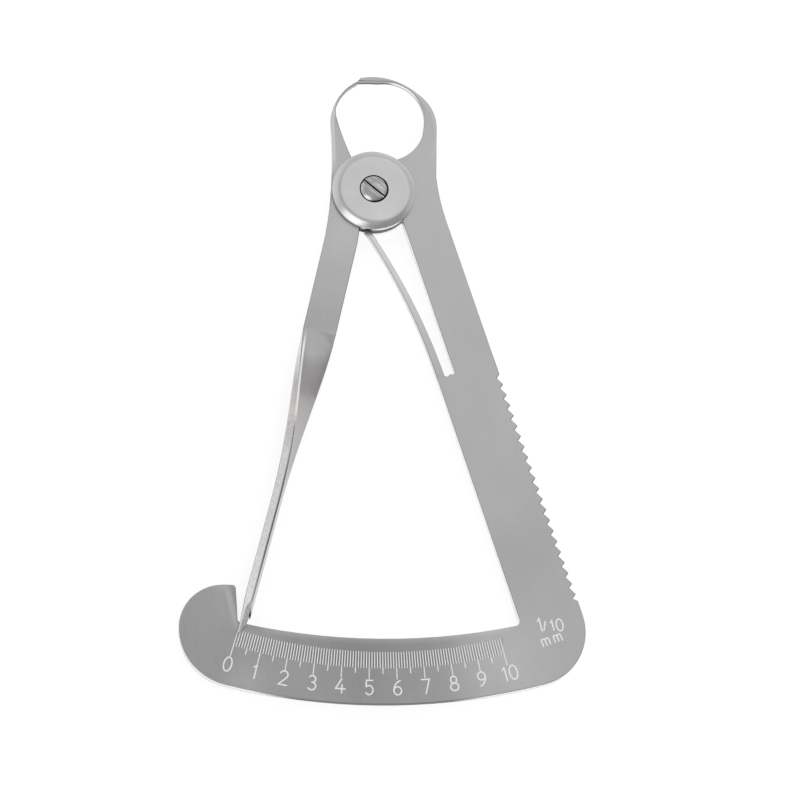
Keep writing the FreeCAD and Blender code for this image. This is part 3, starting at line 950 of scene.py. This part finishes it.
def level_edges():
    """Geometry nodes that leave the edges of the broad faces to the bevel, and keep upright edges out."""
    group, start, end, steep = edge_group("level_edges", SHARP_ANGLE)
    ends = group.nodes.new("GeometryNodeInputMeshEdgeVertices").outputs
    sockets = {0: ends["Position 1"], 1: ends["Position 2"]}
    along = fed_node("VectorMath", sockets, operation="SUBTRACT").outputs[0]
    unit = fed_node("VectorMath", {0: along}, operation="NORMALIZE").outputs[0]
    upright = calc("ABSOLUTE", dot(unit, (0, 0, 1)))
    store = group.nodes.new("GeometryNodeStoreNamedAttribute")
    store.data_type = "FLOAT"
    store.domain = "EDGE"
    store.inputs["Name"].default_value = "bevel_weight_edge"
    group.links.new(start, store.inputs["Geometry"])
    group.links.new(product(steep, calc("LESS_THAN", upright, UPRIGHT_FROM)), store.inputs["Value"])
    group.links.new(store.outputs["Geometry"], end)
    return group


def level_normals(node):
    """Let the large flat faces set the shading of the edges beside them."""
    node.modifiers.new("crease", "NODES").node_group = crease_by_angle()
    level = node.modifiers.new("level", "WEIGHTED_NORMAL")
    level.keep_sharp = True


def on_dial(reach, angle):
    """Point on the plate's face at a distance from the pivot, at an angle from straight down."""
    turn = math.radians(angle)
    return Vector((reach * math.sin(turn), -reach * math.cos(turn)))


def arc(centre, wide, tall, start, end, steps=14):
    """Points along an ellipse's arc, in the units of a glyph one unit high."""
    points = []
    for index in range(steps + 1):
        turn = math.radians(start + (end - start) * index / steps)
        points.append((centre[0] + wide * math.cos(turn), centre[1] + tall * math.sin(turn)))
    return points


def ring(centre, wide, tall):
    return arc(centre, wide, tall, 90, 450, 24)[:-1] + ["closed"]


# Strokes of each glyph, one unit high, with x = 0 in its middle. The second list holds the strokes
# that cross the first ones.
GLYPHS = {
    "0": ([ring((0, 0.5), 0.27, 0.5)], []),
    "1": ([[(0, 1), (0, 0)]], [[(-0.17, 0.78), (0.02, 0.97)]]),
    "2": ([arc((0, 0.73), 0.26, 0.27, 165, -35) + [(-0.28, 0.02), (0.3, 0.02)]], []),
    "3": ([arc((0, 0.76), 0.22, 0.24, 150, -85)], [arc((0, 0.27), 0.28, 0.27, 95, -145)]),
    "4": ([[(0.06, 1), (-0.32, 0.3), (0.34, 0.3)]], [[(0.1, 0.6), (0.1, 0)]]),
    "5": ([[(0.25, 1), (-0.18, 1), (-0.21, 0.56)]], [arc((0, 0.32), 0.27, 0.32, 130, -145)]),
    "6": ([ring((0, 0.28), 0.26, 0.28)], [arc((0.3, 0.28), 0.56, 0.7, 175, 100)]),
    "7": ([[(-0.28, 0.98), (0.27, 0.98), (-0.04, 0)]], []),
    "8": ([ring((0, 0.26), 0.28, 0.26)], [ring((0, 0.76), 0.21, 0.24)]),
    "9": ([ring((0, 0.72), 0.26, 0.28)], [arc((-0.3, 0.72), 0.56, 0.7, -5, -80)]),
    "/": ([[(0.2, 1), (-0.2, 0)]], []),
    "m": ([[(-0.36, 0.66), (-0.36, 0)], arc((0.18, 0.48), 0.18, 0.18, 180, 0, 8) + [(0.36, 0)]],
          [arc((-0.18, 0.48), 0.18, 0.18, 180, 0, 8) + [(0, 0)]]),
}


def add_loop(mesh, outline, level):
    return [mesh.verts.new((p[0] * MM, p[1] * MM, level)) for p in outline]


def join_loops(mesh, first, second):
    """Faces between two loops with as many points."""
    for index in range(len(first)):
        after = (index + 1) % len(first)
        mesh.faces.new((first[index], first[after], second[after], second[index]))


def add_prism(mesh, outline, low, high):
    """Closed upright prism on an outline that runs counter-clockwise."""
    bottom = add_loop(mesh, outline, low)
    top = add_loop(mesh, outline, high)
    mesh.faces.new(bottom[::-1])
    mesh.faces.new(top)
    join_loops(mesh, bottom, top)


def add_ring_prism(mesh, inside, outside, low, high):
    """Closed upright prism between two loops with as many points, both counter-clockwise."""
    corners = ((outside, low), (outside, high), (inside, high), (inside, low))
    loops = [add_loop(mesh, outline, level) for outline, level in corners]
    for first, second in zip(loops, loops[1:] + loops[:1]):
        join_loops(mesh, first, second)


def side_steps(points, closed):
    """Sideways step from each point of a line to its edge, for a width of 2, held back at sharp corners."""
    steps = []
    count = len(points)
    for index in range(count):
        before = points[index - 1] if index or closed else None
        after = points[(index + 1) % count] if index < count - 1 or closed else None
        headings = []
        if before is not None:
            headings.append((points[index] - before).normalized())
        if after is not None:
            headings.append((after - points[index]).normalized())
        normals = [Vector((-h.y, h.x)) for h in headings]
        mitre = sum(normals, Vector((0, 0))).normalized()
        steps.append(mitre / max(mitre.dot(normals[0]), MITRE_LIMIT))
    return steps


def add_stroke(mesh, points, width, low, high):
    """Engraved stroke of even width along a line or a closed loop."""
    closed = points[-1] == "closed"
    line = [Vector(p) for p in (points[:-1] if closed else points)]
    steps = side_steps(line, closed)
    left = [p + s * (width / 2) for p, s in zip(line, steps)]
    right = [p - s * (width / 2) for p, s in zip(line, steps)]
    if closed:
        add_ring_prism(mesh, left, right, low, high)
        return
    first = (line[0] - line[1]).normalized() * (width / 2)
    last = (line[-1] - line[-2]).normalized() * (width / 2)
    outline = right + [line[-1] + last] + left[::-1] + [line[0] + first]
    add_prism(mesh, outline, low, high)


def placed(points, origin, turn, size):
    """Glyph points put on the plate: scaled, turned and moved to the foot of the glyph."""
    cos, sin = math.cos(math.radians(turn)), math.sin(math.radians(turn))
    out = []
    for point in points:
        if point == "closed":
            out.append(point)
            continue
        x, y = point[0] * size, point[1] * size
        out.append((origin[0] + x * cos - y * sin, origin[1] + x * sin + y * cos))
    return out


def ticks():
    """Radial lines of the scale, each as two points."""
    lines = []
    for index in range(UNITS * TICKS_PER_UNIT + 1):
        angle = ZERO_ANGLE + UNIT_ANGLE * index / TICKS_PER_UNIT
        end = FINE_TICK_END
        if index % TICKS_PER_UNIT == 0:
            end = LONG_TICK_END
        elif index % TICKS_PER_UNIT == TICKS_PER_UNIT // 2:
            end = HALF_TICK_END
        lines.append([on_dial(TICK_TOP, angle), on_dial(end, angle)])
    return lines


def written():
    """Every glyph on the plate: its name, the middle of its foot, its turn and its height."""
    glyphs = []
    for unit in range(UNITS + 1):
        angle = ZERO_ANGLE + UNIT_ANGLE * unit
        foot = on_dial(DIGIT_REACH, angle)
        text = str(unit)
        along = Vector((math.cos(math.radians(angle)), math.sin(math.radians(angle))))
        for place, letter in enumerate(text):
            shift = (place - (len(text) - 1) / 2) * TEN_SPACING * DIGIT_HEIGHT
            glyphs.append((letter, foot + along * shift, angle, DIGIT_HEIGHT))
    for letter, x, y, turn, size in LABEL:
        glyphs.append((letter, Vector((x, y)), turn, size))
    return glyphs


def add_cutter(name, strokes, low, high, material):
    """Hidden solid of strokes, each with its width, which is cut out of the plate's face."""
    mesh = bmesh.new()
    for points, width in strokes:
        add_stroke(mesh, points, width, low, high)
    bmesh.ops.recalc_face_normals(mesh, faces=mesh.faces)
    data = bpy.data.meshes.new(name)
    mesh.to_mesh(data)
    mesh.free()
    data.materials.append(material)
    cutter = add_object(name, data)
    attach(cutter, "plate")
    cutter.hide_render = True
    cutter.hide_viewport = True
    return cutter


def engrave(plate, material):
    """Cut the ticks and numbers into the plate's face, with the crossing strokes a little deeper."""
    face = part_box("scale_plate")[1].z
    low = face - ENGRAVING_DEPTH * MM
    high = face + ENGRAVING_DEPTH * MM
    first = [(line, TICK_WIDTH) for line in ticks()]
    crossing = []
    for letter, foot, turn, size in written():
        for found, strokes in zip((first, crossing), GLYPHS[letter]):
            found.extend((placed(stroke, foot, turn, size), STROKE_WIDTH) for stroke in strokes)
    cuts = (("engraving", first, low), ("engraving_across", crossing, low - CROSSING_STEP * MM))
    for name, strokes, floor in cuts:
        cut = plate.modifiers.new(name, "BOOLEAN")
        cut.operation = "DIFFERENCE"
        cut.solver = "MANIFOLD"
        cut.material_mode = "TRANSFER"
        cut.object = add_cutter(name, strokes, floor, high, material)
    level_normals(plate)


def down_grip(reach):
    """Point at a distance in millimetres down the inner edge of the grip band."""
    turn = math.radians(GRIP_ANGLE)
    return Vector((math.sin(turn), -math.cos(turn), 0)) * (reach * MM)


def lap_root(mesh, plate_rear, plate_front):
    """Run the leaf's root into the plate, level with its faces, so that no seam shows."""
    ray = down_grip(LEAF_ROOT).normalized()
    left = Vector((ray.y, -ray.x, 0))
    for vert in mesh.verts:
        reach = vert.co.dot(ray) / MM
        share = min(max((reach - LEAF_ROOT + ROOT_BLEND) / ROOT_BLEND, 0), 1)
        share = share * share * (3 - 2 * share)
        if vert.co.z > (plate_rear + plate_front) / 2:
            vert.co.z += (plate_front + SKIN * MM - vert.co.z) * share
        else:
            vert.co.z += (plate_rear - SKIN * MM - vert.co.z) * share
        if vert.co.dot(left) > -ROOT_WALL * MM:
            vert.co += left * (SKIN * MM * share)
        if reach > LEAF_ROOT - 0.01:
            vert.co += ray * (ROOT_LAP * MM)


def add_leaf(material):
    """The return leaf: its faces cut into short lengths, its edges rounded."""
    ray = down_grip(LEAF_ROOT).normalized()
    low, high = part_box("scale_plate")
    mesh = bmesh.new()
    mesh.from_mesh(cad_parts["leaf_spring"].data)
    bmesh.ops.remove_doubles(mesh, verts=mesh.verts, dist=WELD_DISTANCE)
    bmesh.ops.dissolve_limit(mesh, angle_limit=FLAT_ANGLE, verts=mesh.verts, edges=mesh.edges)
    for reach in range(LEAF_FIRST_CUT, math.floor(LEAF_ROOT)):
        parts = mesh.verts[:] + mesh.edges[:] + mesh.faces[:]
        bmesh.ops.bisect_plane(mesh, geom=parts, dist=1e-7, plane_co=down_grip(reach), plane_no=ray)
    lap_root(mesh, low.z, high.z)
    root_end = (LEAF_ROOT + ROOT_LAP / 2) * MM
    sharp = []
    for edge in mesh.edges:
        at_root = all(vert.co.dot(ray) > root_end for vert in edge.verts)
        if edge.calc_face_angle(0) > SHARP_ANGLE and not at_root:
            sharp.append(edge)
    bmesh.ops.bevel(mesh, geom=sharp, offset=LEAF_ROUND * MM, offset_type="OFFSET", segments=3, profile=0.5,
                    affect="EDGES", clamp_overlap=True)
    for face in mesh.faces:
        face.smooth = True
    data = bpy.data.meshes.new("leaf_blade")
    mesh.to_mesh(data)
    mesh.free()
    data.set_sharp_from_angle(angle=LEAF_SHARP_ANGLE)
    data.materials.append(material)
    leaf = add_object("leaf_blade", data)
    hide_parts("leaf_spring")
    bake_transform(leaf)


def grey(tone):
    return (tone, tone, tone, 1)


def add_floor():
    """Pale floor: white to the camera where it is lit, with the object's shadow kept."""
    data = bpy.data.meshes.new("floor")
    half = FLOOR_SIZE / 2
    level = -FLOOR_GAP
    data.from_pydata([(-half, -half, level), (half, -half, level), (half, half, level), (-half, half, level)],
                     [], [(0, 1, 2, 3)])
    floor = add_object("floor", data)
    made = bpy.data.materials.new("floor")
    made.use_nodes = True
    tree = made.node_tree
    tree.nodes.clear()
    matt = shader_node(tree, "BsdfDiffuse", {"Color": grey(FLOOR_MATT)})
    glow = shader_node(tree, "Emission", {"Color": grey(1), "Strength": FLOOR_GLOW})
    both = shader_node(tree, "AddShader", {0: matt.outputs[0], 1: glow.outputs[0]})
    plain = shader_node(tree, "BsdfDiffuse", {"Color": grey(FLOOR_PLAIN)})
    path = shader_node(tree, "LightPath")
    seen = calc("MAXIMUM", path.outputs["Is Camera Ray"], path.outputs["Is Glossy Ray"])
    seen = calc("MAXIMUM", seen, path.outputs["Is Transmission Ray"])
    mix = shader_node(tree, "MixShader", {0: seen, 1: plain.outputs[0], 2: both.outputs[0]})
    shader_node(tree, "OutputMaterial", {"Surface": mix.outputs[0]})
    data.materials.append(made)


def glow_towards(direction, way, start, full, strength):
    """Extra brightness of the sky around one direction, from nothing at one cosine to full at another."""
    nearness = dot(direction, Vector(way).normalized())
    return span(nearness, start, full, 0.0, strength, smooth=True)


def add_world():
    """White to the camera. Metal sees a grey sky: brighter on the left, darker on the viewer's side."""
    world = bpy.data.worlds.new("studio")
    bpy.context.scene.world = world
    world.use_nodes = True
    tree = world.node_tree
    tree.nodes.clear()
    direction = shader_node(tree, "TexCoord").outputs["Generated"]
    shade = SKY_SHADE
    for way, start, full, strength in SKY_PARTS:
        shade = plus(shade, glow_towards(direction, way, start, full, strength))
    seen = shader_node(tree, "Background", {"Color": grey(1), "Strength": shade})
    even = shader_node(tree, "Background", {"Color": grey(1), "Strength": SKY_EVEN})
    white = shader_node(tree, "Background", {"Color": grey(1), "Strength": 1.0})
    path = shader_node(tree, "LightPath")
    glossy = path.outputs["Is Glossy Ray"]
    on_metal = shader_node(tree, "MixShader", {0: glossy, 1: even.outputs[0], 2: seen.outputs[0]})
    direct = calc("MAXIMUM", path.outputs["Is Camera Ray"], path.outputs["Is Transmission Ray"])
    mix = shader_node(tree, "MixShader", {0: direct, 1: on_metal.outputs[0], 2: white.outputs[0]})
    shader_node(tree, "OutputWorld", {"Surface": mix.outputs[0]})


def add_lamp():
    """Level soft box that faces down, turned about Z. Its brightness is what a mirror would show."""
    wide, tall = LAMP_SIZE
    data = bpy.data.lights.new("overhead", "AREA")
    data.shape = "RECTANGLE"
    data.size = wide
    data.size_y = tall
    data.energy = LAMP_RADIANCE * math.pi * wide * tall
    lamp = add_object("overhead", data)
    lamp.location = LAMP_PLACE
    lamp.rotation_euler = (0, 0, math.radians(LAMP_TURN))


def dress():
    """Give every CAD node its finish, and round its edges."""
    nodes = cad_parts
    disc_steel = turned_steel()
    blade = blade_steel()
    finishes = {
        "scale_plate": plate_steel(),
        "pointer_arm": arm_steel(),
        "leaf_spring": blade,
        "front_disc": disc_steel,
        "rear_disc": disc_steel,
        "pivot_screw": screw_steel(),
    }
    for name, material in finishes.items():
        nodes[name].material_slots[0].material = material
    for name in ("scale_plate", "pointer_arm"):
        join_facets(nodes[name])
    nodes["scale_plate"].modifiers.new("level_edges", "NODES").node_group = level_edges()
    bevel(nodes["scale_plate"], "edge", PLATE_EDGE_ROUND, SHARP_ANGLE, 3, clamp=False)
    nodes["scale_plate"].modifiers["edge"].limit_method = "WEIGHT"
    bevel(nodes["pointer_arm"], "edge", EDGE_ROUND, SHARP_ANGLE, 3, clamp=False)
    level_normals(nodes["pointer_arm"])
    for name, least_angle in (("front_disc", STEEP_ANGLE), ("rear_disc", SHARP_ANGLE)):
        join_facets(nodes[name])
        bevel(nodes[name], "edge", SMALL_EDGE_ROUND, least_angle, 4)
    bevel(nodes["front_disc"], "soft_edge", BEVEL_ROUND, SHARP_ANGLE, 4)
    join_facets(nodes["pivot_screw"])
    bevel(nodes["pivot_screw"], "edge", SMALL_EDGE_ROUND, SHARP_ANGLE, 3)
    engrave(nodes["scale_plate"], etched_metal("etched_steel"))
    add_leaf(blade)


add_camera()
add_world()
add_floor()
add_lamp()
dress()

bpy.context.scene.view_settings.view_transform = "Standard"
